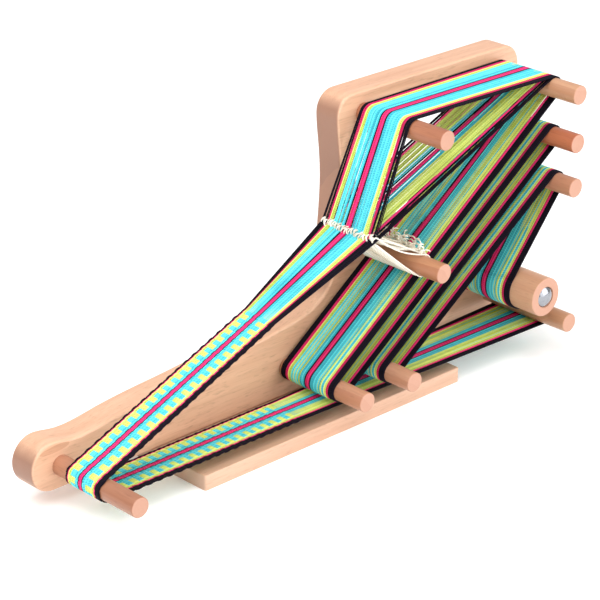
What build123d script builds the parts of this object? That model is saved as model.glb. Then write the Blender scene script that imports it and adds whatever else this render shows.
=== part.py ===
from build123d import *
import math
import os

# Inkle loom, millimetres. Drawn from the front peg's axis (X), the side board's front face (Y)
# and the table (Z), then moved so the origin is the middle of the base's underside.

# overall sizes
REAR_X = 552.8            # front peg to the rear column of pegs
HEAD_X = 369.2            # front peg to the head's front column of pegs
BOARD_H = 281.0           # height of the side board
BOARD_T = 30.0            # thickness of the side board
BASE_T = 15.0             # thickness of the base plank
BASE_L = 329.0            # length of the base plank
BASE_W = 101.0            # width of the base plank, board included
BASE_X = 105.0            # front end of the base plank

# side board outline
REAR_MARGIN = 32.7        # rear pegs to the rear edge
TOP_MARGIN = 21.5         # top pegs to the top edge
BULB_R = 23.5             # rounded end of the arm
BULB_X = -8.5             # centre of that rounded end
CORNER_R = 22.0           # rear corners
HEAD_BACK = 33.5          # head's front edge, ahead of its column of pegs, at the top
HEAD_CORNER = 20.5        # front top corner
EDGE_R = 2.5              # rounding along the board's edges
OPENING_AHEAD = 8.0       # opening through the head: front side ahead of the head's column of pegs
OPENING_REAR = 47.5       # rear side ahead of the rear pegs
OPENING_DROP = 22.0       # upper side below the top pegs
OPENING_LOW = 28.0        # lower side above the heddle peg, at the front
OPENING_FOOT = 50.0       # lower side above the roller, at the rear
OPENING_R = 14.0          # its corners
# the arm's top line and the head's hollow front edge, as shares of HEAD_X and BOARD_H
ARM_LINE = ((0.027, 0.1575), (0.165, 0.1705), (0.41, 0.2005), (0.63, 0.2355), (0.765, 0.2605),
            (0.832, 0.286), (0.884, 0.3435), (0.912, 0.509), (0.9215, 0.68), (0.9165, 0.815))

# pegs
PEG_D = 19.0
PEG_OUT = 108.0           # length standing out of the board
SOCKET = 20.0             # depth let into the board
PEG_END_R = 1.0           # rounding of the free end
FRONT_PEG_UP = 22.5       # heights of the low pegs above the board's bottom edge
REAR_PEG_UP = 22.3
LOW_PEG_UP = 29.6
LOW_PEG_A = 270.8         # distances of the two low pegs from the front peg
LOW_PEG_B = 333.0
STEP_1 = 48.9             # drops of the rear pegs below the top pegs
STEP_2 = 94.5

# tension roller, its bolt and its nut
ROLLER_D = 39.0
ROLLER_BACK = 37.8        # roller ahead of the rear pegs
ROLLER_UP = 61.6          # roller above the board's bottom edge
TRAVEL_IN = 45.0          # travel towards the arm
TRAVEL_OUT = 10.0         # travel towards the rear edge
BOLT_D = 8.0
GAP = 0.4                 # clearance round moving pieces
RUN_GAP = 0.05            # radial clearance of the nut's thread
SNUG = 0.15               # clearance round screws and the bolt in their own holes
HEAD_D = 20.8             # bolt head
HEAD_T = 4.4
HEAD_SUNK = 1.0           # depth of the recess for the head's rim
NECK = 5.0                # square neck under the head
NECK_W = 8.6
BOLT_TAIL = 24.0          # bolt beyond the board's back
WASHER_D = 24.0
WASHER_T = 2.0
NUT_D = 15.0
NUT_T = 9.0
WING_SPAN = 42.0
WING_T = 3.0
WING_H = 15.0

# screws
SCREW_D = 4.0
SCREW_HEAD_D = 8.4
BASE_SCREW_L = 42.0
BASE_SCREW_X = (135.0, 215.0, 301.5, 405.0)
PEG_SCREW_L = 30.0
DRIVE_D = 1.5             # half-size of the cross recess

# warp, as flat webs of the threads' thickness
WEB_T = 1.6
LAYER_T = WEB_T / 2
HEDDLE_AHEAD = 59.2       # line where the heddles hold the warp, ahead of the heddle peg and above it
HEDDLE_RISE = 40.1
LOOP_GAP = 0.535          # between the heddle loops round their peg and the warp run above it
HEDDLE_T = 1.5
HEDDLE_OFF = 3.5          # start of the heddle loops below that line
FELL_TOP = 195.0          # woven length on the upper run
FELL_LOW = 228.0          # and on the lower run
# far and near edges of the warp at each turn
Y_WOVEN = (-21.5, -66.0)
Y_HEDDLE = (-6.0, -78.0)
Y_HEAD = (-4.0, -69.5)
Y_TOP = (-3.0, -76.0)
Y_LOW_A = (-3.0, -74.0)
Y_STEP_1 = (-6.0, -78.0)
Y_LOW_B = (-8.0, -78.0)
Y_STEP_2 = (-11.0, -85.0)
Y_ROLLER = (-10.0, -79.0)
Y_REAR = (-6.0, -77.0)
Y_LOOPS = (-10.0, -82.0)

PEG_R = PEG_D / 2
ROLLER_R = ROLLER_D / 2
BOARD_TOP = BASE_T + BOARD_H
TOP_Z = BOARD_TOP - TOP_MARGIN
REAR_EDGE = REAR_X + REAR_MARGIN
ROLLER = (REAR_X - ROLLER_BACK, BASE_T + ROLLER_UP)
PEGS = {
    "front_peg": (0.0, BASE_T + FRONT_PEG_UP),
    "top_front_peg": (HEAD_X, TOP_Z),
    "top_rear_peg": (REAR_X, TOP_Z),
    "upper_rear_peg": (REAR_X, TOP_Z - STEP_1),
    "lower_rear_peg": (REAR_X, TOP_Z - STEP_2),
    "bottom_rear_peg": (REAR_X, BASE_T + REAR_PEG_UP),
    "bottom_front_peg": (LOW_PEG_A, BASE_T + LOW_PEG_UP),
    "bottom_middle_peg": (LOW_PEG_B, BASE_T + LOW_PEG_UP),
}
SHIFT = (-(BASE_X + BASE_L / 2), BASE_W / 2 - BOARD_T, 0)

parts = {}


def rod(x, z, r, y0, y1):
    """Round bar along Y from y0 to y1."""
    low, high = min(y0, y1), max(y0, y1)
    return Pos(x, (low + high) / 2, z) * Rot(90, 0, 0) * Cylinder(r, high - low)


def slot(x0, x1, z, r, y0, y1):
    """Round-ended bar along X, cut through Y."""
    body = rod(x0, z, r, y0, y1) + rod(x1, z, r, y0, y1)
    return body + Pos((x0 + x1) / 2, (y0 + y1) / 2, z) * Box(x1 - x0, abs(y1 - y0), 2 * r)


def pin_along_z(length, shank, head):
    """Countersunk shape along +Z from its flat face."""
    cone_h = (head - shank) / 2
    with BuildSketch(Plane.XZ) as half:
        with BuildLine():
            Polyline((0, 0), (head / 2, 0), (shank / 2, cone_h), (shank / 2, length), (0, length),
                     close=True)
        make_face()
    return revolve(half.sketch, Axis.Z)


def screw(length, shank, head):
    """Countersunk screw with a cross recess in its head."""
    body = pin_along_z(length, shank, head)
    arm = DRIVE_D / 3
    return body - Box(2 * DRIVE_D, arm, 2 * DRIVE_D) - Box(arm, 2 * DRIVE_D, 2 * DRIVE_D)


def screw_hole(length, shank, head):
    """Hole for that screw, a little larger all round."""
    hole = pin_along_z(length + 2 * SNUG, shank + 2 * SNUG, head + 2 * SNUG)
    return hole


def tangent(a, ra, sa, b, rb, sb):
    """Belt line from circle a to circle b; s is 1 for a counter-clockwise turn, -1 for clockwise."""
    dx, dz = b[0] - a[0], b[1] - a[1]
    angle = math.atan2(dz, dx) - math.asin((sb * rb - sa * ra) / math.hypot(dx, dz))
    left = (-math.sin(angle), math.cos(angle))
    p = (a[0] - sa * ra * left[0], a[1] - sa * ra * left[1])
    q = (b[0] - sb * rb * left[0], b[1] - sb * rb * left[1])
    return p, q, angle


def web(p, q, yp, yq, t):
    """Flat web of thickness t between two lines along Y."""
    angle = math.atan2(q[1] - p[1], q[0] - p[0])
    n = (-math.sin(angle) * t / 2, math.cos(angle) * t / 2)

    def end(c, y):
        far, near = y
        return Wire.make_polygon([(c[0] + n[0], far, c[1] + n[1]), (c[0] + n[0], near, c[1] + n[1]),
                                  (c[0] - n[0], near, c[1] - n[1]), (c[0] - n[0], far, c[1] - n[1])],
                                 close=True)
    return Solid.make_loft([end(p, yp), end(q, yq)], True)


def turn(c, r, t, start, stop, y):
    """Part of a ring round a peg, from one angle to another, in radians."""
    low, high = math.degrees(min(start, stop)), math.degrees(max(start, stop))
    with BuildSketch(Plane.XZ.offset(-y[0])) as sk:
        with BuildLine():
            outer = CenterArc(c, r + t, low, high - low)
            inner = CenterArc(c, r, low, high - low)
            Line(outer @ 0, inner @ 0)
            Line(outer @ 1, inner @ 1)
        make_face()
    return extrude(sk.sketch, y[0] - y[1])


def round_peg(angle_in, angle_out, s):
    """Start and stop angles of the ring between an arriving and a leaving belt line."""
    start, stop = angle_in - s * math.pi / 2, angle_out - s * math.pi / 2
    while s * (stop - start) < 0:
        stop += s * 2 * math.pi
    while s * (stop - start) > 2 * math.pi:
        stop -= s * 2 * math.pi
    return start, stop


# the heddle peg stands clear of the warp run between the top rear and the bottom front pegs
R = PEG_R + LAYER_T
CW, CCW = -1, 1
(run_x, run_z), _, run_angle = tangent(PEGS["top_rear_peg"], R, CW, PEGS["bottom_front_peg"], R, CCW)
stand_off = PEG_R + HEDDLE_T + LOOP_GAP + WEB_T / 2
heddle_z = run_z + (HEAD_X - run_x) * math.tan(run_angle) + stand_off / abs(math.cos(run_angle))
PEGS["heddle_peg"] = (HEAD_X, heddle_z)

# side board
arm_end = (BULB_X, BASE_T)
arm_top = (BULB_X, BASE_T + 2 * BULB_R)
curve = [arm_top] + [(fx * HEAD_X, BASE_T + fz * BOARD_H) for fx, fz in ARM_LINE]
head_top = (HEAD_X - HEAD_BACK, BOARD_TOP - HEAD_CORNER)
curve.append(head_top)
with BuildSketch(Plane.XZ) as outline:
    with BuildLine():
        Line(arm_end, (REAR_EDGE - CORNER_R, BASE_T))
        CenterArc((REAR_EDGE - CORNER_R, BASE_T + CORNER_R), CORNER_R, -90, 90)
        Line((REAR_EDGE, BASE_T + CORNER_R), (REAR_EDGE, BOARD_TOP - CORNER_R))
        CenterArc((REAR_EDGE - CORNER_R, BOARD_TOP - CORNER_R), CORNER_R, 0, 90)
        Line((REAR_EDGE - CORNER_R, BOARD_TOP), (head_top[0] + HEAD_CORNER, BOARD_TOP))
        CenterArc((head_top[0] + HEAD_CORNER, head_top[1]), HEAD_CORNER, 90, 90)
        Spline(*curve, tangents=((1, 0), (0, 1)), tangent_scalars=(1, 1))
        CenterArc((BULB_X, BASE_T + BULB_R), BULB_R, 90, 180)
    make_face()
    with BuildSketch(Plane.XZ, mode=Mode.PRIVATE) as opening:
        with BuildLine():
            Polyline((HEAD_X - OPENING_AHEAD, PEGS["heddle_peg"][1] + OPENING_LOW),
                     (REAR_X - OPENING_REAR, ROLLER[1] + OPENING_FOOT),
                     (REAR_X - OPENING_REAR, TOP_Z - OPENING_DROP),
                     (HEAD_X - OPENING_AHEAD, TOP_Z - OPENING_DROP), close=True)
        make_face()
        fillet(opening.vertices(), OPENING_R)
    add(opening.sketch, mode=Mode.SUBTRACT)
board = extrude(outline.sketch, -BOARD_T)
rims = board.edges().filter_by(lambda e: abs(e.position_at(0).Y - e.position_at(1).Y) < EDGE_R
                               and abs(e.center().Y - BOARD_T / 2) > BOARD_T / 3)
board = fillet(rims, EDGE_R)
for x, z in PEGS.values():
    board -= rod(x, z, PEG_R, 0, SOCKET)
    board -= Pos(x, BOARD_T, z) * Rot(90, 0, 0) * screw_hole(BOARD_T, SCREW_D, SCREW_HEAD_D)
slot_r = BOLT_D / 2 + GAP
board -= slot(ROLLER[0] - TRAVEL_IN, ROLLER[0] + TRAVEL_OUT, ROLLER[1], slot_r, 0, BOARD_T)
base_y = BOARD_T - BASE_W / 2
base = Pos(BASE_X + BASE_L / 2, base_y, BASE_T / 2) * Box(BASE_L, BASE_W, BASE_T)
base = fillet(base.edges().filter_by(Axis.Z), EDGE_R)
base = fillet(base.edges().group_by(Axis.Z)[-1], EDGE_R / 2)
base_screws = []
for x in BASE_SCREW_X:
    place = Pos(x, BOARD_T / 2, 0)
    base -= place * screw_hole(BASE_SCREW_L, SCREW_D, SCREW_HEAD_D)
    board -= place * screw_hole(BASE_SCREW_L, SCREW_D, SCREW_HEAD_D)
    base_screws.append(place * screw(BASE_SCREW_L, SCREW_D, SCREW_HEAD_D))
parts["side_board"] = board
parts["base_board"] = base
parts["base_screws"] = Compound([s for group in base_screws for s in group.solids()])

# pegs and the screws that hold them from behind
peg_screws = []
for name, (x, z) in PEGS.items():
    peg = rod(x, z, PEG_R, SOCKET, -PEG_OUT)
    peg = fillet(peg.edges().group_by(Axis.Y)[0], PEG_END_R)
    place = Pos(x, BOARD_T, z) * Rot(90, 0, 0)
    parts[name] = peg - place * screw_hole(PEG_SCREW_L, SCREW_D, SCREW_HEAD_D)
    peg_screws.append(place * screw(PEG_SCREW_L, SCREW_D, SCREW_HEAD_D))
parts["peg_screws"] = Compound([s for group in peg_screws for s in group.solids()])

# tension roller with its bolt
x, z = ROLLER
roller = rod(x, z, ROLLER_R, -GAP, -PEG_OUT)
roller = fillet(roller.edges().group_by(Axis.Y)[0], PEG_END_R)
roller -= rod(x, z, HEAD_D / 2 + GAP, -PEG_OUT, HEAD_SUNK - PEG_OUT)
neck_w = NECK_W + 2 * SNUG
roller -= Pos(x, HEAD_SUNK - PEG_OUT + NECK / 2, z) * Box(neck_w, NECK + 2 * SNUG, neck_w)
roller -= rod(x, z, BOLT_D / 2 + SNUG, 0, -PEG_OUT)
parts["tension_roller"] = roller
seat = HEAD_SUNK - PEG_OUT
tail = BOARD_T + BOLT_TAIL - seat
dome_r = (HEAD_D ** 2 / 4 + HEAD_T ** 2) / (2 * HEAD_T)
mid_y = dome_r - HEAD_T - math.sqrt(dome_r ** 2 - HEAD_D ** 2 / 16)
tip = BOLT_D / 2 - PEG_END_R
with BuildSketch(Plane.XY) as half:
    with BuildLine():
        ThreePointArc((HEAD_D / 2, 0), (HEAD_D / 4, mid_y), (0, -HEAD_T))
        Polyline((0, -HEAD_T), (0, tail), (tip, tail), (BOLT_D / 2, tail - PEG_END_R), (BOLT_D / 2, 0),
                 (HEAD_D / 2, 0))
    make_face()
bolt = Pos(x, seat, z) * revolve(half.sketch, Axis.Y)
bolt += Pos(x, seat + (NECK - SNUG) / 2, z) * Box(NECK_W, NECK + SNUG, NECK_W)
parts["tension_bolt"] = bolt
washer_y = BOARD_T + GAP
washer = rod(x, z, WASHER_D / 2, washer_y, washer_y + WASHER_T)
washer = chamfer(washer.edges().group_by(Axis.Y)[-1], WASHER_T / 5)
washer -= rod(x, z, BOLT_D / 2 + GAP, washer_y, washer_y + WASHER_T)
parts["tension_washer"] = washer
nut_y = washer_y + WASHER_T + GAP
nut = Pos(x, nut_y + NUT_T / 2, z) * Rot(-90, 0, 0) * Cone(NUT_D / 2, NUT_D * 2 / 5, NUT_T)
wing_x = WING_SPAN / 2
with BuildSketch(Plane.XZ) as side:
    with BuildLine():
        Polyline((0, 0), (NUT_D / 3, 0), (wing_x - WING_T, WING_H * 2 / 5))
        ThreePointArc((wing_x - WING_T, WING_H * 2 / 5), (wing_x, WING_H * 3 / 4),
                      (wing_x - 2 * WING_T, WING_H))
        Line((wing_x - 2 * WING_T, WING_H), (0, NUT_T * 3 / 4))
        Line((0, NUT_T * 3 / 4), (0, 0))
    make_face()
wing = extrude(side.sketch, WING_T / 2, both=True)
wing = fillet(wing.edges().filter_by(lambda e: e.center().X > NUT_D / 2), WING_T / 4)
for flip in (0, 180):
    nut += Pos(x, nut_y, z) * Rot(-90, 0, 0) * Rot(0, 0, flip) * wing
nut -= rod(x, z, BOLT_D / 2 + RUN_GAP, nut_y, nut_y + NUT_T + WING_H)
parts["wing_nut"] = nut

# warp: belt lines through every turn
front, heddle = PEGS["front_peg"], (PEGS["heddle_peg"][0] - HEDDLE_AHEAD, PEGS["heddle_peg"][1] + HEDDLE_RISE)
top_a, top_b = PEGS["top_front_peg"], PEGS["top_rear_peg"]
line_top = tangent(front, R, CW, heddle, 0, CW)
mean = line_top[2]
above = (heddle[0] - math.sin(mean) * LAYER_T / 2, heddle[1] + math.cos(mean) * LAYER_T / 2)
below = (heddle[0] + math.sin(mean) * LAYER_T / 2, heddle[1] - math.cos(mean) * LAYER_T / 2)
steep = tangent(above, 0, CW, top_a, PEG_R + LAYER_T / 2, CW)[2]
above = (above[0] + math.cos(steep) * LAYER_T / 2, above[1] + math.sin(steep) * LAYER_T / 2)
below = (below[0] + math.cos(mean) * SNUG, below[1] + math.sin(mean) * SNUG)
line_rise = tangent(above, 0, CW, top_a, PEG_R + LAYER_T / 2, CW)
outer = PEG_R + WEB_T * 3 / 4
inner = PEG_R + WEB_T / 4
line_open = tangent(top_a, PEG_R + LAYER_T / 2, CW, top_b, outer, CW)
line_shed = tangent(below, 0, CW, top_b, inner, CW)
stops = [("top_rear_peg", CW, Y_TOP, "run_a"), ("bottom_front_peg", CCW, Y_LOW_A, "run_b"),
         ("upper_rear_peg", CW, Y_STEP_1, "run_c"), ("bottom_middle_peg", CCW, Y_LOW_B, "run_d"),
         ("lower_rear_peg", CW, Y_STEP_2, "roller_in"), ("roller", CCW, Y_ROLLER, "roller_out"),
         ("bottom_rear_peg", CW, Y_REAR, "bottom")]
circles = {name: (c, R) for name, c in PEGS.items()}
circles["roller"] = (ROLLER, ROLLER_R + LAYER_T)
lines = []
for (name, s, y, run), (after, s2, y2, _) in zip(stops, stops[1:] + [("front_peg", CW, Y_WOVEN, "")]):
    (a, ra), (b, rb) = circles[name], circles[after]
    lines.append(tangent(a, ra, s, b, rb, s2))


def along(line, x, y_from, y_to):
    """Point of a belt line at x, with the warp's edges there."""
    (x0, z0), (x1, z1), _ = line
    k = (x - x0) / (x1 - x0)
    edges = tuple(a + (b - a) * k for a, b in zip(y_from, y_to))
    return (x, z0 + (z1 - z0) * k), edges


fell_a, _ = along(line_top, FELL_TOP, Y_WOVEN, Y_WOVEN)
fell_b, _ = along(lines[-1], FELL_LOW, Y_WOVEN, Y_WOVEN)
parts["woven_top"] = web(line_top[0], fell_a, Y_WOVEN, Y_WOVEN, WEB_T)
parts["woven_turn"] = turn(front, PEG_R, WEB_T, *round_peg(lines[-1][2], line_top[2], CW), Y_WOVEN)
parts["woven_bottom"] = web(fell_b, lines[-1][1], Y_WOVEN, Y_WOVEN, WEB_T)
parts["fell_warp"] = web(fell_a, heddle, Y_WOVEN, Y_HEDDLE, WEB_T)
parts["open_warp_rise"] = web(*line_rise[:2], Y_HEDDLE, Y_HEAD, LAYER_T)
parts["open_warp_turn"] = turn(top_a, PEG_R, LAYER_T, *round_peg(line_rise[2], line_open[2], CW), Y_HEAD)
parts["open_warp_top"] = web(*line_open[:2], Y_HEAD, Y_TOP, LAYER_T)
parts["heddled_warp"] = web(*line_shed[:2], Y_HEDDLE, Y_TOP, LAYER_T)
under = turn(top_b, PEG_R, LAYER_T, *round_peg(line_shed[2], lines[0][2], CW), Y_TOP)
over = turn(top_b, PEG_R + LAYER_T, LAYER_T, *round_peg(line_open[2], lines[0][2], CW), Y_TOP)
parts["top_rear_turn"] = under + over
for i, (name, s, y, run) in enumerate(stops):
    c, r = circles[name]
    if i:
        ring = turn(c, r - LAYER_T, WEB_T, *round_peg(lines[i - 1][2], lines[i][2], s), y)
        parts[name.replace("_peg", "") + "_turn"] = ring
    if run != "bottom":
        parts["warp_" + run] = web(*lines[i][:2], y, stops[i + 1][2], WEB_T)
parts["warp_bottom"] = web(lines[-1][0], fell_b, Y_REAR, Y_WOVEN, WEB_T)

# heddle loops, from just under the held line round the heddle peg
peg = PEGS["heddle_peg"]
loop_r = PEG_R + HEDDLE_T / 2
slope = math.atan2(peg[1] - heddle[1], peg[0] - heddle[0])
eye = (heddle[0] + HEDDLE_OFF * math.cos(slope), heddle[1] + HEDDLE_OFF * math.sin(slope))
lift = (-math.sin(slope) * HEDDLE_T / 2, math.cos(slope) * HEDDLE_T / 2)
up = tangent((eye[0] + lift[0], eye[1] + lift[1]), 0, CW, peg, loop_r, CW)
down = tangent(peg, loop_r, CW, (eye[0] - lift[0], eye[1] - lift[1]), 0, CW)
parts["heddle_loops_top"] = web(*up[:2], Y_HEDDLE, Y_LOOPS, HEDDLE_T)
parts["heddle_loops_turn"] = turn(peg, PEG_R, HEDDLE_T, *round_peg(up[2], down[2], CW), Y_LOOPS)
parts["heddle_loops_low"] = web(*down[:2], Y_LOOPS, Y_HEDDLE, HEDDLE_T)

os.makedirs("parts", exist_ok=True)
for name, shape in parts.items():
    solids = [Pos(*SHIFT) * solid for solid in shape.solids()]
    export_step(solids[0] if len(solids) == 1 else Compound(solids), f"parts/{name}.step")
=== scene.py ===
import math
from collections import namedtuple

import bpy
import numpy as np
from mathutils import Matrix, Vector


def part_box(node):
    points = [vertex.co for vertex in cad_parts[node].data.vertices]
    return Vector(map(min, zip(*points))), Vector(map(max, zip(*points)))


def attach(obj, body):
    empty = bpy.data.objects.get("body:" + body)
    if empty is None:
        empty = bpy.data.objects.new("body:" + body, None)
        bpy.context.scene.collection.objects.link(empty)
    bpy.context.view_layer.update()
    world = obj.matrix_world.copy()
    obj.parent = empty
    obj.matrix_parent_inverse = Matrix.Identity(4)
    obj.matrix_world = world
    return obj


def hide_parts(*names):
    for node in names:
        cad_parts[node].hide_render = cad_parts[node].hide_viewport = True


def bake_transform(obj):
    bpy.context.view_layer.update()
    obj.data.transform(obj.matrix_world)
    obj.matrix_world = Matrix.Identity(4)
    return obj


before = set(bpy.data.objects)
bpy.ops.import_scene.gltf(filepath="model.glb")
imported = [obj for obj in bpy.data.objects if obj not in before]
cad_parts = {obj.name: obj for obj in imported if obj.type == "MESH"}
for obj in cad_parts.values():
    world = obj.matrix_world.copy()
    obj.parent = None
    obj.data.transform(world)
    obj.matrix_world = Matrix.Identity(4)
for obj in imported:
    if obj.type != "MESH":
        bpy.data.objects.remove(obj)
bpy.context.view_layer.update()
rng = np.random.default_rng(11)
MM = 0.001
CW, CCW = -1, 1           # turning senses, with X to the right and Z up
COLOURS = ("cyan", "lime", "pink", "navy")

# ---------------------------------------------------------------- camera, floor and light
AZIMUTH, ELEVATION = math.radians(-43.44), math.radians(23.74)
AIM, DISTANCE, LENS, SENSOR = Vector((-0.0109, -0.0104, 0.1266)), 2.2, 143.62, 36.0

forward = Vector((-math.sin(AZIMUTH) * math.cos(ELEVATION), math.cos(AZIMUTH) * math.cos(ELEVATION),
                  -math.sin(ELEVATION)))
right = Vector((math.cos(AZIMUTH), math.sin(AZIMUTH), 0))
up = right.cross(forward)
cam = bpy.data.objects.new("camera", bpy.data.cameras.new("camera"))
bpy.context.scene.collection.objects.link(cam)
turn = Matrix((right, up, -forward)).transposed().to_4x4()
cam.matrix_world = Matrix.Translation(AIM - forward * DISTANCE) @ turn
cam.data.lens, cam.data.sensor_width = LENS, SENSOR
cam.data.clip_start, cam.data.clip_end = 0.05, 50
bpy.context.scene.camera = cam


def light(name, place, aim, size, power, colour=(1, 1, 1)):
    """Soft rectangular light at place, pointing at aim."""
    data = bpy.data.lights.new(name, "AREA")
    data.shape, data.size, data.size_y, data.energy, data.color = "RECTANGLE", size, size, power, colour
    lamp = bpy.data.objects.new(name, data)
    lamp.location = place
    lamp.rotation_mode = "QUATERNION"
    lamp.rotation_quaternion = (Vector(aim) - Vector(place)).to_track_quat("-Z", "Y")
    bpy.context.scene.collection.objects.link(lamp)


light("key", (1.2, -2.0, 1.2), (0, 0, 0.1), 2.2, 37)
light("front", (-0.1, -2.3, 0.7), (0, 0, 0.1), 1.4, 10)
light("top", (-1.0, -0.3, 2.2), (0, 0, 0.1), 2.2, 58)
world = bpy.data.worlds.new("studio")
bpy.context.scene.world = world
world.use_nodes = True
world.node_tree.nodes["Background"].inputs["Color"].default_value = (1, 1, 1, 1)
world.node_tree.nodes["Background"].inputs["Strength"].default_value = 0.62
bpy.context.scene.view_settings.view_transform = "Standard"


# ---------------------------------------------------------------- materials
class Nodes:
    """A material's node tree, built a node at a time."""

    def __init__(self, name):
        self.mat = bpy.data.materials.new(name)
        self.mat.use_nodes = True
        self.tree = self.mat.node_tree
        self.shader = self.tree.nodes["Principled BSDF"]

    def add(self, kind, inputs=(), **props):
        node = self.tree.nodes.new("ShaderNode" + kind)
        for key, value in props.items():
            setattr(node, key, value)
        for key, value in dict(inputs).items():
            if isinstance(value, bpy.types.NodeSocket):
                self.tree.links.new(value, node.inputs[key])
            else:
                node.inputs[key].default_value = value
        return node

    def maths(self, operation, a, b=0.0, clamp=False):
        return self.add("Math", {0: a, 1: b}, operation=operation, use_clamp=clamp).outputs[0]

    def ramp(self, value, stops):
        node = self.add("ValToRGB", {"Fac": value})
        bar = node.color_ramp
        bar.elements[0].position, bar.elements[0].color = stops[0][0], (*stops[0][1], 1)
        bar.elements[1].position, bar.elements[1].color = stops[-1][0], (*stops[-1][1], 1)
        for place, colour in stops[1:-1]:
            bar.elements.new(place).color = (*colour, 1)
        return node.outputs["Color"]

    def noise(self, place, scale, detail, stretch=None, out="Fac"):
        """Noise of one size, or drawn out by three factors."""
        if stretch:
            place = self.add("Mapping", {"Vector": place, "Scale": stretch}).outputs["Vector"]
        return self.add("TexNoise", {"Vector": place, "Scale": scale, "Detail": detail}).outputs[out]

    def mix(self, factor, a, b):
        node = self.add("Mix", data_type="RGBA")
        for key, value in (("Factor", factor), ("A", a), ("B", b)):
            socket = [s for s in node.inputs if s.name == key and s.enabled][0]
            if isinstance(value, bpy.types.NodeSocket):
                self.tree.links.new(value, socket)
            else:
                socket.default_value = value
        return [s for s in node.outputs if s.enabled][0]

    def shade(self, **values):
        for key, value in values.items():
            key = key.replace("_", " ")
            if isinstance(value, bpy.types.NodeSocket):
                self.tree.links.new(value, self.shader.inputs[key])
            else:
                self.shader.inputs[key].default_value = value


def srgb(*c):
    """Linear colour from 0 to 255 display values."""
    return tuple(((v / 255 + 0.055) / 1.055) ** 2.4 if v > 10 else v / 255 / 12.92 for v in c)


def wood(name, light_tone, dark_tone, end_tone, along, ring=9 * MM, shift=(0, 0, 0), fleck=1.0):
    """Beech: soft growth rings, fine pores and short flecks along the grain; its own tone on end grain, which
    for the side board also paints shade.
    """
    n = Nodes(name)
    axis = "XYZ".index(along)

    def stretch(fine, long):
        return tuple(long if i == axis else fine for i in range(3))

    place = n.add("TexCoord").outputs["Object"]
    moved = n.add("Mapping", {"Vector": place, "Location": shift}).outputs["Vector"]

    # growth rings, gently bent
    drift = n.noise(moved, 1.0, 3.0, stretch(14, 3), "Color")
    bent = n.add("VectorMath", {0: drift, 1: (0.5, 0.5, 0.5)}, operation="SUBTRACT").outputs[0]
    bent = n.add("VectorMath", {0: bent, "Scale": 0.035}, operation="SCALE").outputs[0]
    bent = n.add("VectorMath", {0: moved, 1: bent}, operation="ADD").outputs[0]
    squeezed = n.add("Mapping", {"Vector": bent, "Scale": stretch(1.0, 0.12)}).outputs["Vector"]
    rings = n.add("TexWave", {"Vector": squeezed, "Scale": 0.05 / ring, "Distortion": 2.2,
                              "Detail": 3.0, "Detail Scale": 1.6}, wave_type="RINGS",
                  rings_direction=along, wave_profile="SAW").outputs["Fac"]

    # pores, streaks and flecks along the grain
    pores = n.noise(moved, 1.0, 4.0, stretch(900, 45))
    streak = n.noise(moved, 1.0, 5.0, stretch(110, 5))
    cloud = n.noise(moved, 7.0, 2.0)
    flecks = n.noise(moved, 1.0, 1.0, stretch(520, 95))
    flecks = n.maths("MULTIPLY", n.maths("SUBTRACT", flecks, 0.60, True), 4.5 * fleck, True)
    tone = n.maths("ADD", n.maths("MULTIPLY", rings, 0.34), n.maths("MULTIPLY", streak, 0.75))
    tone = n.maths("ADD", tone, n.maths("MULTIPLY", n.maths("SUBTRACT", cloud, 0.5), 0.5))
    colour = n.ramp(tone, [(0.22, light_tone), (0.92, dark_tone)])
    deep = tuple(c * 0.55 for c in dark_tone)
    colour = n.mix(n.maths("MULTIPLY", n.maths("SUBTRACT", pores, 0.5, True), 0.9), colour, (*deep, 1))
    colour = n.mix(n.maths("MULTIPLY", flecks, 0.38), colour, (*deep, 1))

    # end grain, where the surface turns towards the grain's direction; on the side board its dark tone is
    # partly painted shade on the faces turned to −X
    facing = n.add("VectorMath", {0: n.add("NewGeometry").outputs["Normal"],
                                  1: tuple(float(i == axis) for i in range(3))},
                   operation="DOT_PRODUCT").outputs["Value"]
    end = n.maths("MULTIPLY", n.maths("SUBTRACT", n.maths("ABSOLUTE", facing), 0.55, True), 2.6, True)
    dots = n.noise(moved, 1500.0, 3.0)
    end_grain_and_shade = n.mix(n.maths("MULTIPLY", dots, 0.55), (*end_tone, 1), (*[c * 0.72 for c in end_tone], 1))
    end_grain_and_shade = n.mix(n.maths("MULTIPLY", rings, 0.18), end_grain_and_shade, (*dark_tone, 1))
    colour = n.mix(end, colour, end_grain_and_shade)

    height = n.maths("ADD", n.maths("MULTIPLY", pores, 0.6), n.maths("MULTIPLY", streak, 0.4))
    bump = n.add("Bump", {"Height": height, "Strength": 0.22, "Distance": 0.25 * MM}).outputs["Normal"]
    rough = n.maths("ADD", n.maths("MULTIPLY", streak, 0.22), n.maths("MULTIPLY", end, 0.12))
    n.shade(Base_Color=colour, Normal=bump, Roughness=n.maths("ADD", rough, 0.33))
    n.shade(Coat_Weight=0.3, Coat_Roughness=0.3, Specular_IOR_Level=0.42)
    return n.mat


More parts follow.
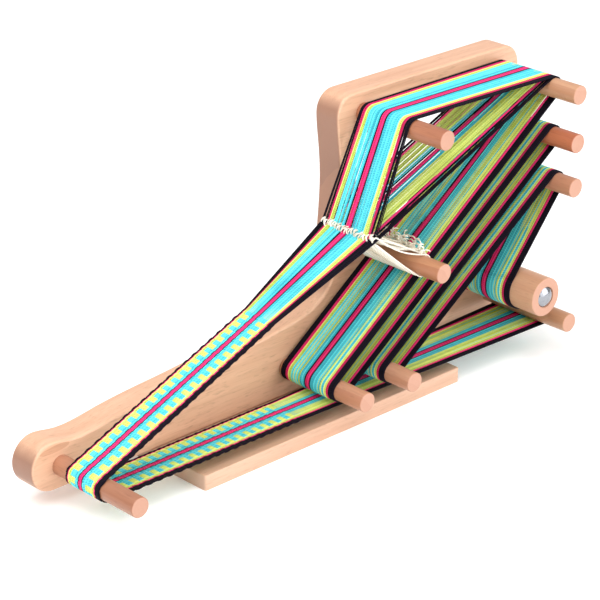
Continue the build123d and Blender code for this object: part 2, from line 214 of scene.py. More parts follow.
def cotton(name, base, deep, sheen=0.25, rough=0.62, fuzz=0.5, gloss=0.3):
    """Plied cotton: two plies winding round the thread, with loose fibres and uneven dye; painted shade in
    the grooves between the plies.
    """
    n = Nodes(name)
    uv = n.add("UVMap", uv_map="thread").outputs["UV"]
    split = n.add("SeparateXYZ", {0: uv})
    wind = n.maths("ADD", n.maths("MULTIPLY", split.outputs["X"], 2.0), split.outputs["Y"])
    ply = n.maths("ABSOLUTE", n.maths("SINE", n.maths("MULTIPLY", wind, math.pi)))
    place = n.add("TexCoord").outputs["Object"]
    fibre = n.noise(place, 2600.0, 3.0)
    dye = n.noise(place, 150.0, 3.0)
    tone = n.add("Attribute", attribute_name="tone").outputs["Fac"]
    # painted shade and highlight: the ply wave turns the grooves towards the deep colour and the crowns
    # towards the base colour
    light_part = n.maths("ADD", n.maths("MULTIPLY", ply, 0.72), n.maths("MULTIPLY", fibre, 0.7 * fuzz))
    light_part = n.maths("ADD", light_part, n.maths("MULTIPLY", n.maths("SUBTRACT", tone, 0.5), 0.95))
    light_part = n.maths("ADD", light_part, n.maths("MULTIPLY", n.maths("SUBTRACT", dye, 0.5), 0.5))
    colour = n.mix(n.maths("MULTIPLY", light_part, 1.0, True), (*deep, 1), (*base, 1))
    height = n.maths("ADD", n.maths("MULTIPLY", ply, 0.8), n.maths("MULTIPLY", fibre, 0.3))
    bump = n.add("Bump", {"Height": height, "Strength": 0.5, "Distance": 0.2 * MM}).outputs["Normal"]
    n.shade(Base_Color=colour, Normal=bump, Roughness=rough, Sheen_Weight=sheen, Sheen_Roughness=0.4)
    n.shade(Sheen_Tint=(*base, 1), Specular_IOR_Level=gloss, Subsurface_Weight=0.0)
    return n.mat


def metal(name, colour, rough):
    """Zinc-plated steel: faint mottling and fine scratches."""
    n = Nodes(name)
    place = n.add("TexCoord").outputs["Object"]
    mottle = n.noise(place, 320.0, 4.0)
    scratches = n.noise(place, 900.0, 3.0, (1, 0.15, 6))
    tone = n.ramp(mottle, [(0.3, tuple(c * 0.82 for c in colour)), (0.7, colour)])
    bump = n.add("Bump", {"Height": scratches, "Strength": 0.12, "Distance": 0.1 * MM}).outputs["Normal"]
    n.shade(Base_Color=tone, Metallic=1.0, Normal=bump,
            Roughness=n.maths("ADD", n.maths("MULTIPLY", mottle, 0.2), rough - 0.1))
    return n.mat


# ---------------------------------------------------------------- wood and metal of the CAD pieces
def dress(node, material):
    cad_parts[node].material_slots[0].material = material


PEG_TONES = {
    "front_peg": (srgb(206, 146, 114), srgb(170, 106, 74)),
    "top_front_peg": (srgb(204, 136, 100), srgb(168, 95, 64)),
    "top_rear_peg": (srgb(226, 172, 134), srgb(196, 136, 100)),
    "upper_rear_peg": (srgb(218, 134, 94), srgb(178, 92, 58)),
    "lower_rear_peg": (srgb(222, 164, 130), srgb(190, 124, 92)),
    "heddle_peg": (srgb(212, 150, 112), srgb(180, 110, 76)),
    "bottom_rear_peg": (srgb(228, 176, 138), srgb(200, 142, 104)),
    "bottom_front_peg": (srgb(222, 164, 130), srgb(192, 126, 94)),
    "bottom_middle_peg": (srgb(226, 170, 138), srgb(196, 134, 104)),
    "tension_roller": (srgb(240, 188, 152), srgb(216, 154, 120)),
}
PEG_SIDE_SHADE = 0.74          # painted shade: the pegs' sides are darkened a little against their sawn ends
PEG_END = srgb(198, 148, 124)
for i, (node, tones) in enumerate(PEG_TONES.items()):
    # the side tones are scaled down by the painted-shade factor above; the sawn ends keep PEG_END
    pale, dark = (tuple(c * PEG_SIDE_SHADE for c in tone) for tone in tones)
    low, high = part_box(node)
    # each peg is cut from its own place in the tree, off the rings' middle
    off = (0.016 + 0.003 * (i % 4) - (low[0] + high[0]) / 2, 0.07 * i,
           0.011 * (i % 3) - (low[2] + high[2]) / 2)
    dress(node, wood("wood_" + node, pale, dark, PEG_END, "Y", ring=5.5 * MM, shift=off, fleck=0.8))
# the board's end tone is end grain plus painted shade: it darkens the head's side turned to −X, which lies in
# shade
dress("side_board", wood("board_beech", srgb(230, 184, 152), srgb(196, 143, 112), srgb(158, 115, 93), "X",
                         ring=16 * MM, shift=(0.1, 0.09, -0.06)))
dress("base_board", wood("base_beech", srgb(218, 180, 153), srgb(197, 152, 124), srgb(206, 170, 146), "X",
                         ring=12 * MM, shift=(0.3, 0.05, 0.11)))
ZINC = metal("zinc_plate", (0.36, 0.37, 0.40), 0.16)
for node in ("tension_bolt", "tension_washer", "wing_nut", "base_screws", "peg_screws"):
    dress(node, ZINC)

YARN = {
    "cyan": cotton("cotton_cyan", srgb(112, 242, 248), srgb(14, 156, 182), sheen=0.1),
    "lime": cotton("cotton_lime", srgb(240, 252, 140), srgb(156, 182, 48), sheen=0.1),
    "pink": cotton("cotton_pink", srgb(255, 52, 134), srgb(176, 0, 62), sheen=0.1),
    "navy": cotton("cotton_navy", srgb(21, 15, 30), srgb(3, 2, 5), sheen=0.0, gloss=0.1),
    "cream": cotton("cotton_cream", srgb(255, 252, 242), srgb(206, 192, 164), sheen=0.2, rough=0.8),
}


# ---------------------------------------------------------------- threads
SIDES = 6
THREAD_R = 0.52 * MM
PLY = 2.3 * MM            # length of one turn of the plies


def tube_mesh(name, strands, material, body="frame"):
    """One piece made of closed tubes. A strand is (points, normals, half-width, half-height, tone)."""
    verts, quads, caps, uvs, tones, count = [], [], [], [], [], 0
    turn = np.arange(SIDES) * 2 * math.pi / SIDES
    j = np.arange(SIDES)
    for points, normals, wide, high, tone in strands:
        n = len(points)
        along = np.gradient(points, axis=0)
        along /= np.linalg.norm(along, axis=1)[:, None] + 1e-12
        normals = normals - (normals * along).sum(1)[:, None] * along
        normals /= np.linalg.norm(normals, axis=1)[:, None]
        side = np.cross(along, normals)
        wide, high = np.broadcast_to(wide, n)[:, None, None], np.broadcast_to(high, n)[:, None, None]
        ring = points[:, None] + side[:, None] * wide * np.cos(turn)[None, :, None] \
            + normals[:, None] * high * np.sin(turn)[None, :, None]
        verts.append(ring.reshape(-1, 3))
        i = np.arange(n - 1)[:, None]
        a, b = count + i * SIDES + j, count + i * SIDES + (j + 1) % SIDES
        quads.append(np.stack([a, a + SIDES, b + SIDES, b], -1).reshape(-1, 4))
        caps.append(count + j)
        caps.append(count + (n - 1) * SIDES + j[::-1])
        run = np.concatenate([[0], np.cumsum(np.linalg.norm(np.diff(points, axis=0), axis=1))]) / PLY
        run += tone * 97 % 1
        u0, u1 = np.broadcast_to(j / SIDES, (n - 1, SIDES)), np.broadcast_to((j + 1) / SIDES, (n - 1, SIDES))
        v0, v1 = np.broadcast_to(run[:-1, None], u0.shape), np.broadcast_to(run[1:, None], u0.shape)
        uvs.append(np.stack([np.stack([u0, v0], -1), np.stack([u0, v1], -1), np.stack([u1, v1], -1),
                             np.stack([u1, v0], -1)], 2).reshape(-1, 2))
        tones.append(np.full(n * SIDES, tone))
        count += n * SIDES
    verts, quads, uvs = np.concatenate(verts), np.concatenate(quads), np.concatenate(uvs)
    mesh = bpy.data.meshes.new(name)
    mesh.vertices.add(len(verts))
    mesh.vertices.foreach_set("co", verts.ravel())
    mesh.loops.add(quads.size + len(caps) * SIDES)
    mesh.loops.foreach_set("vertex_index", np.concatenate([quads.ravel(), np.concatenate(caps)]))
    mesh.polygons.add(len(quads) + len(caps))
    starts = np.concatenate([np.arange(len(quads)) * 4, quads.size + np.arange(len(caps)) * SIDES])
    mesh.polygons.foreach_set("loop_start", starts)
    mesh.polygons.foreach_set("use_smooth", np.ones(len(starts), bool))
    layer = mesh.uv_layers.new(name="thread")
    flat = np.concatenate([uvs, np.zeros((len(caps) * SIDES, 2))])
    layer.data.foreach_set("uv", flat.ravel())
    mesh.attributes.new("tone", "FLOAT", "POINT").data.foreach_set("value", np.concatenate(tones))
    mesh.update(calc_edges=True)
    mesh.validate()
    mesh.materials.append(material)
    obj = bpy.data.objects.new(name, mesh)
    bpy.context.scene.collection.objects.link(obj)
    if body:
        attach(obj, body)
    return obj


def belt(a, ra, sa, b, rb, sb):
    """Straight run between two turns: where it leaves, where it arrives and its angle."""
    d = b - a
    angle = math.atan2(d[1], d[0]) - math.asin((sb * rb - sa * ra) / math.hypot(*d))
    left = np.array([-math.sin(angle), math.cos(angle)])
    return a - sa * ra * left, b - sb * rb * left, angle


def arc(c, r, s, angle_in, angle_out, step=math.radians(15)):
    """Points and left normals round a turn, from one run's angle to the next's."""
    sweep = (s * (angle_out - angle_in)) % (2 * math.pi)
    k = max(2, int(math.ceil(sweep / step)))
    headings = angle_in + s * sweep * np.linspace(0, 1, k + 1)
    left = np.stack([-np.sin(headings), np.cos(headings)], 1)
    return c - s * r * left, left


def circle(node):
    low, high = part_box(node)
    return np.array([(low[0] + high[0]) / 2, (low[2] + high[2]) / 2]), (high[0] - low[0]) / 2


def edges(node):
    low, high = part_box(node)
    return low[1], high[1]


# Stripes from the far edge to the near one: pairs of threads, then the open and the held one's colour.
STRIPES = [(5, "navy", "navy"), (3, "pink", "pink"), (4, "lime", "lime"), (9, "cyan", "lime"),
           (5, "cyan", "cyan"), (2, "navy", "navy"), (6, "pink", "pink"), (2, "navy", "navy"),
           (6, "cyan", "cyan"), (11, "cyan", "lime"), (4, "lime", "lime"), (3, "pink", "pink"),
           (6, "navy", "navy")]
# How wide each stripe lies (mm) in the band, at the heddles, in each layer of the shed and in a full run.
WIDTHS = {
    "woven": (2.1, 0.8, 3.2, 6.4, 3.4, 1.1, 3.8, 1.1, 4.2, 8.4, 2.6, 1.4, 4.8),
    "heddle": (6.8, 0.6, 6.0, 8.2, 5.4, 1.0, 6.4, 1.0, 5.4, 8.6, 6.0, 2.2, 8.6),
    "open": (4.7, 3.3, 4.2, 10.2, 5.5, 1.3, 5.6, 1.5, 5.5, 10.0, 4.5, 3.6, 6.7),
    "held": (4.8, 2.8, 7.0, 12.0, 3.8, 2.2, 2.6, 2.0, 4.6, 10.0, 5.0, 3.0, 7.0),
    "full": (7.0, 3.3, 3.6, 12.9, 6.5, 1.3, 5.4, 1.6, 6.5, 11.9, 3.0, 3.1, 6.9),
}
# How a mixed stripe lies in a full run: open (O) and held (H) threads side by side; the rest hide below.
MIXED = {3: "OOOHOOOHOOOHH", 9: "OOOOHOOOHHHOOOO"}


def lay(kind):
    """Share of the way from the far edge to the near edge for each (stripe, pair, is open)."""
    places, start, total = {}, 0.0, sum(WIDTHS[kind])
    for k, ((pairs, _, _), width) in enumerate(zip(STRIPES, WIDTHS[kind])):
        for n in range(pairs):
            for is_open in (True, False):
                apart = (n + (0.25 if is_open else 0.75)) / pairs
                if kind in ("open", "held"):
                    apart = (n + 0.5) / pairs
                elif kind == "heddle" and k == 0:                    # the edge stripes fan out
                    apart **= 1.6
                elif kind == "heddle" and k == len(STRIPES) - 1:
                    apart = 1 - (1 - apart) ** 1.5
                places[k, n, is_open] = (start + width * apart) / total
        if kind == "full" and k in MIXED:
            for is_open, mark in ((True, "O"), (False, "H")):
                slots = [i for i, c in enumerate(MIXED[k]) if c == mark]
                step = pairs / len(slots)
                for i, slot in enumerate(slots):
                    apart = (slot + 0.5) / len(MIXED[k])
                    places[k, int(i * step), is_open] = (start + width * apart) / total
        start += width
    return places


PLACES = {kind: lay(kind) for kind in WIDTHS}
threads = [(k, n, is_open) for k, (pairs, _, _) in enumerate(STRIPES) for n in range(pairs)
           for is_open in (True, False)]
# held threads of the mixed stripes that lie on top with the open ones
ON_TOP = {(k, int(i * STRIPES[k][0] / marks.count("H"))) for k, marks in MIXED.items()
          for i in range(marks.count("H"))}

# Threads gather in bundles of a few pairs, with slits between: more so near the heddles.
SQUEEZE = {"heddle": 0.76, "open": 0.93, "held": 0.80, "full": 0.95}
pairs_left = [(k, n) for k, (pairs, _, _) in enumerate(STRIPES) for n in range(pairs)]
bundles = []
while pairs_left:
    size = int(rng.integers(3, 8))
    bundles.append(pairs_left[:size])
    pairs_left = pairs_left[size:]
for kind, squeeze in SQUEEZE.items():
    for bundle in bundles:
        keys = [(*pair, side) for pair in bundle for side in (True, False)]
        middle = sum(PLACES[kind][key] for key in keys) / len(keys)
        for key in keys:
            PLACES[kind][key] = middle + (PLACES[kind][key] - middle) * squeeze


def clumps(size, reach):
    """Uneven spacing: neighbouring threads drift together by about size."""
    walk = rng.normal(size=len(threads) + 2 * reach)
    smooth = np.convolve(walk, np.ones(reach) / math.sqrt(reach), "same")[reach:-reach]
    return dict(zip(threads, smooth * size))


front, front_r = circle("front_peg")
fell_low, fell_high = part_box("fell_warp")
heddle_line = np.array([fell_high[0] - 0.3 * MM, fell_high[2] - 0.7 * MM])
FELL_TOP_X, FELL_LOW_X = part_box("woven_top")[1][0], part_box("woven_bottom")[1][0]
TURNS = [("top_rear_peg", CW, "top_rear_turn"), ("bottom_front_peg", CCW, "bottom_front_turn"),
         ("upper_rear_peg", CW, "upper_rear_turn"), ("bottom_middle_peg", CCW, "bottom_middle_turn"),
         ("lower_rear_peg", CW, "lower_rear_turn"), ("tension_roller", CCW, "roller_turn"),
         ("bottom_rear_peg", CW, "bottom_rear_turn")]
HEAD = ("top_front_peg", CW, "open_warp_turn")
woven_y, heddle_y = edges("woven_turn"), edges("fell_warp")

STRAY = {"heddle": clumps(0.22 * MM, 3), "open": clumps(0.10 * MM, 2), "held": clumps(0.25 * MM, 3),
         "full": clumps(0.08 * MM, 2)}


def across(edge, kind, thread, jitter=0.0):
    """Place across the warp of a thread laid in one of the ways above, inside the edges."""
    low, high = edge
    share = PLACES[kind][thread]
    stray = STRAY[kind][thread] if kind in STRAY else 0.0
    y = high - THREAD_R - (high - low - 2 * THREAD_R) * share + stray + (rng.random() - 0.5) * jitter
    return min(max(y, low + THREAD_R), high - THREAD_R)


BAND_R = 1.05 * MM        # the band's middle above the front peg
LIFT = 0.42 * MM          # how far a thread rises over a pick
PICK = 5.3 * MM           # between picks, and how much more near the front peg
PICK_MORE = 0.9 * MM
GAP_LAYER = 0.66 * MM     # between the open and the heddled layer

# the band's middle line, from the lower fell round the front peg to the upper fell
last, last_r = circle("bottom_rear_peg")
low_run = belt(last, last_r + BAND_R, CW, front, front_r + BAND_R, CW)
top_run = belt(front, front_r + BAND_R, CW, heddle_line, 0, CW)


def at_x(run, x):
    k = (x - run[0][0]) / (run[1][0] - run[0][0])
    return run[0] + (run[1] - run[0]) * k


low_fell, top_fell = at_x(low_run, FELL_LOW_X), at_x(top_run, FELL_TOP_X)
around = (CW * (top_run[2] - low_run[2])) % (2 * math.pi)
lengths = np.array([np.linalg.norm(low_run[1] - low_fell), around * (front_r + BAND_R),
                    np.linalg.norm(top_fell - top_run[0])])
BAND_LENGTH = lengths.sum()


def band_line(s):
    """Points and left normals on the band's middle line at lengths s."""
    a, b, c = lengths
    heading = low_run[2] + CW * around * np.clip((s - a) / b, 0, 1)
    left = np.stack([-np.sin(heading), np.cos(heading)], 1)
    first = low_fell + (low_run[1] - low_fell) * np.clip(s / a, 0, 1)[:, None]
    bend = front - CW * (front_r + BAND_R) * left
    third = top_run[0] + (top_fell - top_run[0]) * np.clip((s - a - b) / c, 0, 1)[:, None]
    points = np.where((s < a)[:, None], first, np.where((s < a + b)[:, None], bend, third))
    return points, left


picks = [0.0]
while picks[-1] < BAND_LENGTH:
    near_peg = math.exp(-((picks[-1] - lengths[0]) / 0.09) ** 2)
    picks.append(picks[-1] + PICK + PICK_MORE * near_peg)
picks = np.array(picks) * BAND_LENGTH / picks[-1]
STEPS = np.array([0.0, 0.2, 0.5, 0.8])
phase = (np.arange(len(picks) - 1)[:, None] + STEPS).ravel()
phase = np.append(phase, len(picks) - 1)
band_s = np.interp(phase, np.arange(len(picks)), picks)
wave = np.sin(math.pi * phase)
wave = np.sign(wave) * np.abs(wave) ** 0.55

WOVEN_W, WOVEN_H = 0.56 * MM, 0.46 * MM
SKEW = 2.4 * MM           # how far the near ends of the picks lag behind the far ends
BAND_STOPS = np.array([0, lengths[0] + lengths[1] / 2, BAND_LENGTH])
FAR_DRIFT = np.array([2.0, 1.6, -2.0]) * MM
NEAR_DRIFT = np.array([-0.2, 0.6, -0.6]) * MM
OPEN_BEND, HELD_BEND = 2.5 * MM, 0.2 * MM     # how round a thread turns at the heddle line

Turn = namedtuple("Turn", "centre radius sense y")


def left_of(angle):
    return np.array([-math.sin(angle), math.cos(angle)])


class Line:
    """A thread's line, put together stretch by stretch."""

    def __init__(self):
        self.points, self.normals, self.wide, self.high = [], [], [], []

    def put(self, p, left, y, w=THREAD_R, h=THREAD_R):
        k = len(p)
        self.points.append(np.stack([p[:, 0], np.broadcast_to(y, k), p[:, 1]], 1))
        self.normals.append(np.stack([left[:, 0], np.zeros(k), left[:, 1]], 1))
        self.wide.append(np.broadcast_to(w, k))
        self.high.append(np.broadcast_to(h, k))

    def span(self, p, q, y0, y1, angle, inner, loose=0.08 * MM):
        """Points inside a straight run, each a hair astray."""
        left = left_of(angle)
        t = (np.arange(inner) + 1) / (inner + 1)
        stray = (rng.random(inner) - 0.5)[:, None] * loose * left
        side = (rng.random(inner) - 0.5) * loose * 2
        self.put(p + (q - p) * t[:, None] + stray, np.broadcast_to(left, (inner, 2)),
                 y0 + (y1 - y0) * t + side)

    def count(self):
        return sum(map(len, self.points))

    def part(self, start, stop=None):
        return tuple(np.concatenate(x)[start:stop] for x in (self.points, self.normals, self.wide, self.high))


def turns_of(thread):
    """The turns a thread makes, from the head to the bottom rear peg."""
    stripe, pair, is_open = thread
    layer = 1.0 if is_open or (stripe, pair) in ON_TOP else 0.0
    turns = []
    for node, sense, ring in ([HEAD] if is_open else []) + TURNS:
        centre, radius = circle(node)
        rise = THREAD_R + layer * GAP_LAYER + rng.random() * 0.12 * MM
        first = node in (HEAD[0], TURNS[0][0])
        kind = "full" if not first else "open" if is_open else "held"
        turns.append(Turn(centre, radius + rise, sense, across(edges(ring), kind, thread, 0.16 * MM)))
    return turns


def between(a, b):
    return belt(a.centre, a.radius, a.sense, b.centre, b.radius, b.sense)


def straight(p, q, y0, y1, angle, count=13):
    """A run of its own, for the threads beside the roller."""
    t = np.linspace(0, 1, count)
    flat = p + (q - p) * t[:, None]
    points = np.stack([flat[:, 0], y0 + (y1 - y0) * t, flat[:, 1]], 1)
    return points, np.broadcast_to([-math.sin(angle), 0, math.cos(angle)], (count, 3)), THREAD_R, THREAD_R


def place_in_band(thread):
    """The thread's place across the band, at each step along it."""
    far_y = woven_y[1] - THREAD_R + np.interp(band_s, BAND_STOPS, FAR_DRIFT)
    near_y = woven_y[0] + THREAD_R + np.interp(band_s, BAND_STOPS, NEAR_DRIFT)
    return far_y + (near_y - far_y) * PLACES["woven"][thread]


def put_band(line, thread, woven, sign):
    """The thread's stretch in the band, over and under the picks."""
    share = PLACES["woven"][thread]
    points, left = band_line(np.clip(band_s - SKEW * (share - 0.5), 0, BAND_LENGTH))
    sway = (rng.random(len(phase)) - 0.5) * 0.08 * MM
    grow = np.clip(np.minimum(phase, phase[-1] - phase) / 0.6, 0, 1)
    line.put(points + left * (sign * wave * LIFT)[:, None], left, woven + sway,
             THREAD_R + (WOVEN_W - THREAD_R) * grow, THREAD_R + (WOVEN_H - THREAD_R) * grow)


def make_thread(thread):
    """One warp end: before the band, in it, after it, on to the roller, off it and round it."""
    stripe, _, is_open = thread
    sign = 1 if is_open else -1
    turns = turns_of(thread)
    roller, rear = turns[-2:]
    held_y = across(heddle_y, "heddle", thread)

    # where the thread bends at the heddle line
    held = heddle_line + sign * 0.75 * GAP_LAYER * left_of(top_run[2])
    bend_r = OPEN_BEND if is_open else HELD_BEND
    after = belt(held, 0, CW, *turns[0][:3])[2]
    sense = CCW if after > top_run[2] else CW
    hold = Turn(held + sense * bend_r * left_of((top_run[2] + after) / 2), bend_r, sense, held_y)

    # off the roller, round the bottom rear peg and along the bottom to the band
    line = Line()
    off = between(roller, rear)
    start = low_fell + sign * 0.2 * MM * left_of(low_run[2])
    bottom = belt(*rear[:3], start, 0, CW)
    woven = place_in_band(thread)
    p, left = arc(*rear[:3], off[2], bottom[2])
    line.put(p, left, rear.y)
    line.span(bottom[0], bottom[1], rear.y, woven[0], bottom[2], 5)
    split = line.count()
    put_band(line, thread, woven, sign)
    join = line.count()

    # up to the heddle line, and from turn to turn
    rise = belt(top_fell, 0, CW, *hold[:3])
    line.span(top_fell, rise[1], woven[-1], held_y, rise[2], 2)
    onward = between(hold, turns[0])
    p, left = arc(*hold[:3], rise[2], onward[2], math.radians(9))
    line.put(p, left, held_y)
    for before, turn, following in zip([hold] + turns, turns[:-2], turns[1:]):
        into, out = between(before, turn), between(turn, following)
        line.span(into[0], into[1], before.y, turn.y, into[2], 4)
        p, left = arc(*turn[:3], into[2], out[2])
        line.put(p, left, turn.y)

    # the runs on to the roller and off it, and the turn round it
    last = turns[-3]
    on = between(last, roller)
    p, left = arc(*roller[:3], on[2], off[2], math.radians(10))
    wrap = (np.stack([p[:, 0], np.full(len(p), roller.y), p[:, 1]], 1),
            np.stack([left[:, 0], np.zeros(len(p)), left[:, 1]], 1), THREAD_R, THREAD_R)
    parts = [line.part(0, split + 1), line.part(split, join + 1), line.part(join),
             straight(*on[:2], last.y, roller.y, on[2]), straight(*off[:2], roller.y, rear.y, off[2]), wrap]
    tone = rng.random()
    return STRIPES[stripe][1 if is_open else 2], [(*part, tone) for part in parts]


made = [make_thread(thread) for thread in threads]
pieces = {}
for label, places, body in (("warp", (0, 2), "frame"), ("band", (1,), "frame"), ("roller_in", (3,), None),
                            ("roller_out", (4,), None), ("roller_wrap", (5,), "roller")):
    for colour in COLOURS:
        strands = [parts[place] for c, parts in made if c == colour for place in places]
        pieces[label, colour] = tube_mesh(f"{label}_{colour}", strands, YARN[colour], body)

# the two runs beside the roller, between the frame and the roller, have their placement baked into their
# meshes
near_y = edges("roller_turn")[0]
roller = Turn(*circle("tension_roller"), CCW, near_y)
for label, fixed in (("roller_in", "lower_rear_peg"), ("roller_out", "bottom_rear_peg")):
    fixed = Turn(*circle(fixed), CW, near_y)
    order = [fixed, roller] if label == "roller_in" else [roller, fixed]
    ends = between(*[turn._replace(radius=turn.radius + THREAD_R) for turn in order])[:2]
    ends = ends if label == "roller_in" else ends[::-1]
    for colour in COLOURS:
        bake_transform(pieces[label, colour])
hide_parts("woven_top", "woven_turn", "woven_bottom")
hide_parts("fell_warp",
            "open_warp_rise", "open_warp_turn", "open_warp_top", "heddled_warp", "top_rear_turn",
            "warp_run_a", "bottom_front_turn", "warp_run_b", "upper_rear_turn", "warp_run_c",
            "bottom_middle_turn", "warp_run_d", "lower_rear_turn", "bottom_rear_turn", "warp_bottom")
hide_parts("warp_roller_in")
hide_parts("warp_roller_out")
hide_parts("roller_turn")

# ---------------------------------------------------------------- weft
WEFT_R = 0.5 * MM
TURN_OUT = 0.5 * MM       # how far the weft stands out where it turns at an edge


def weft_line():
    """One yarn from edge to edge through the band, pick after pick."""
    points, normals, sizes = [], [], []
    for k in range(1, len(picks) - 1):
        far = woven_y[1] + np.interp(picks[k], BAND_STOPS, FAR_DRIFT) + 0.05 * MM
        near = woven_y[0] + np.interp(picks[k], BAND_STOPS, NEAR_DRIFT) - 0.05 * MM
        shares = np.linspace(0, 1, 6)[::1 if k % 2 else -1]
        line, left = band_line(picks[k] - SKEW * (shares - 0.5))
        points += [(x, far + (near - far) * t, z) for (x, z), t in zip(line, shares)]
        normals += [(x, 0, z) for x, z in left]
        sizes += [1.0, 0.5, 0.5, 0.5, 0.5, 1.0]
        if k < len(picks) - 2:
            midway = (picks[k] + picks[k + 1]) / 2
            line, left = band_line(np.array([midway - SKEW * (shares[-1] - 0.5)]))
            edge = near - TURN_OUT if shares[-1] == 1 else far + TURN_OUT
            points.append((line[0][0], edge, line[0][1]))
            normals.append((left[0][0], 0, left[0][1]))
            sizes.append(1.0)
    radii = WEFT_R * np.array(sizes)
    return np.array(points), np.array(normals), radii, radii, 0.5


tube_mesh("weft", [weft_line()], YARN["navy"])

# ---------------------------------------------------------------- heddle loops
LOOPS = 34
LOOP_R = 0.78 * MM
KNOT_CORD = 0.85          # cords in a knot are drawn tight, to this share of their thickness
peg, peg_r = circle("heddle_peg")
loop_y = edges("heddle_loops_turn")


def heddle_loop(share, y1):
    """A cord round the warp at the heddle line, over the peg at y1 and back below."""
    y0 = heddle_y[1] - 1.2 * MM - (heddle_y[1] - heddle_y[0] - 2 * MM) * share
    off = (rng.random() - 0.5) * 4.0 * MM
    along = np.array([math.cos(top_run[2]), math.sin(top_run[2])])
    eye = heddle_line + along * off + 0.25 * MM * left_of(top_run[2])
    eye_r = THREAD_R + LOOP_R + (0.9 + 1.3 * rng.random()) * MM
    over_r = peg_r + LOOP_R * (1 + 4.5 * rng.random() ** 1.5)
    on = belt(eye, eye_r, CW, peg, over_r, CW)
    back = belt(peg, peg_r + LOOP_R, CW, eye, eye_r, CW)
    eye_points, eye_left = arc(eye, eye_r, CW, back[2], on[2], math.radians(30))
    _, peg_left = arc(peg, 1.0, CW, on[2], back[2], math.radians(15))
    reach = np.linspace(over_r, peg_r + LOOP_R * 1.05, len(peg_left))
    peg_points = peg + peg_left * reach[:, None]

    # the upper leg sags or rises a little but stays off the peg
    t = np.linspace(0, 1, 9)[1:-1]
    bulge = (1.0 - 7.5 * rng.random()) * MM
    bow = np.sin(math.pi * t)[:, None]
    left_on, left_back = left_of(on[2]), left_of(back[2])
    up_leg = eye_points[-1] + (peg_points[0] - eye_points[-1]) * t[:, None] + left_on * bow * bulge
    away = up_leg - peg
    up_leg = peg + away * np.maximum(1, (peg_r + LOOP_R) / np.linalg.norm(away, axis=1)[:, None])
    down_leg = peg_points[-1] + (eye_points[0] - peg_points[-1]) * t[:, None] \
        + left_back * bow * 0.15 * abs(bulge)

    flat = np.concatenate([eye_points, up_leg, peg_points, down_leg, eye_points[:1]])
    left = np.concatenate([eye_left, np.broadcast_to(left_on, (len(t), 2)), peg_left,
                           np.broadcast_to(left_back, (len(t), 2)), eye_left[:1]])
    lean = (rng.random() - 0.5) * 2 * MM
    twist = (0.7 + 1.2 * rng.random()) * MM * rng.choice([-1, 1])
    ys = np.concatenate([np.linspace(y0 - twist, y0 + twist, len(eye_points)),
                         y0 + twist + (y1 - y0 - twist) * t,
                         np.linspace(y1, y1 + lean, len(peg_points)),
                         y1 + lean + (y0 - twist - y1 - lean) * t, [y0 - twist]])
    points = np.stack([flat[:, 0], ys, flat[:, 1]], 1)
    normals = np.stack([left[:, 0], np.zeros(len(left)), left[:, 1]], 1)
    return points, normals, LOOP_R, LOOP_R, rng.random()


def bezier(a, b, c, d, k):
    t = np.linspace(0, 1, k)[:, None]
    return a * (1 - t) ** 3 + 3 * b * t * (1 - t) ** 2 + 3 * c * t ** 2 * (1 - t) + d * t ** 3


def steady_normals(points):
    """Normals that turn as little as they can along a line."""
    tangent = np.gradient(points, axis=0)
    tangent /= np.linalg.norm(tangent, axis=1)[:, None] + 1e-12
    normal = np.cross(tangent[0], (0.31, 0.83, 0.46))
    out = []
    for t in tangent:
        normal = normal - (normal @ t) * t
        normal /= np.linalg.norm(normal)
        out.append(normal)
    return np.array(out)


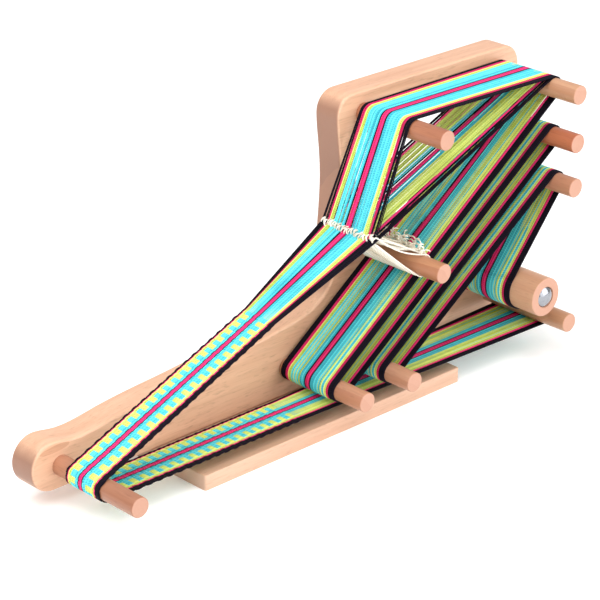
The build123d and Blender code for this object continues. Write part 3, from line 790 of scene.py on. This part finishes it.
def heddle_knot(share, y1):
    """A loop's knot and its two tails, lying over the top of the peg."""
    seat = math.radians(108 - 55 * rng.random())
    heap = math.sin(math.pi * min(1, share * 0.62 + 0.3))
    lift = peg_r + (1.2 + (1 + 10 * rng.random()) * max(heap, 0.15)) * MM
    middle = np.array([peg[0] + lift * math.cos(seat), y1, peg[1] + lift * math.sin(seat)])
    turns = np.linspace(0, 2.6 * math.pi, 13)
    coil = MM * np.stack([1.1 * np.cos(turns), np.linspace(-1.1, 1.1, 13), 1.1 * np.sin(turns)], 1)
    tilt = rng.random() * math.pi
    c, s = math.cos(tilt), math.sin(tilt)
    coil = coil @ np.array([[c, s, 0], [-s, c, 0], [0, 0, 1]]).T + middle
    for end, sign in ((coil[0], -1), (coil[-1], 1)):
        reach = (4 + 6 * rng.random()) * MM
        lean = np.array([rng.random() * 1.6 - 0.6, sign * (0.3 + 0.9 * rng.random()),
                         0.1 + rng.random() * 0.6])
        tip = end + lean / np.linalg.norm(lean) * reach
        mid = end + np.array([0.1, sign * 0.3, 0.9]) * reach * 0.5
        tail = bezier(end, mid, mid * 0.4 + tip * 0.6, tip - np.array([-0.1, 0, 0.3]) * reach, 7)
        coil = np.concatenate([tail[:0:-1], coil]) if sign < 0 else np.concatenate([coil, tail[1:]])
    radii = np.full(len(coil), LOOP_R * KNOT_CORD)
    radii[[0, -1]] *= 0.7
    return coil, steady_normals(coil), radii, radii, rng.random()


loops, knots = [], []
for n in range(LOOPS):
    share = (n + 0.5) / LOOPS
    y1 = loop_y[1] - 1 * MM - (loop_y[1] - loop_y[0] - 3 * MM) * share + (rng.random() - 0.5) * 3 * MM
    loops.append(heddle_loop(share, y1))
    knots.append(heddle_knot(share, y1))
cords = tube_mesh("heddle_loops", loops, YARN["cream"])
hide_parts("heddle_loops_top", "heddle_loops_turn", "heddle_loops_low")
tube_mesh("heddle_knots", knots, YARN["cream"])

# ---------------------------------------------------------------- floor
FLOOR = 6.0
ground = bpy.data.meshes.new("floor")
ground.from_pydata([(-FLOOR, -FLOOR, 0), (FLOOR, -FLOOR, 0), (FLOOR, FLOOR, 0), (-FLOOR, FLOOR, 0)], [],
                   [(0, 1, 2, 3)])
floor = bpy.data.objects.new("floor", ground)
bpy.context.scene.collection.objects.link(floor)
paper = Nodes("paper")
paper.shade(Base_Color=(0.95, 0.95, 0.95, 1), Roughness=0.9, Specular_IOR_Level=0.1)
paper.shade(Emission_Color=(1, 1, 1, 1), Emission_Strength=0.15)
ground.materials.append(paper.mat)
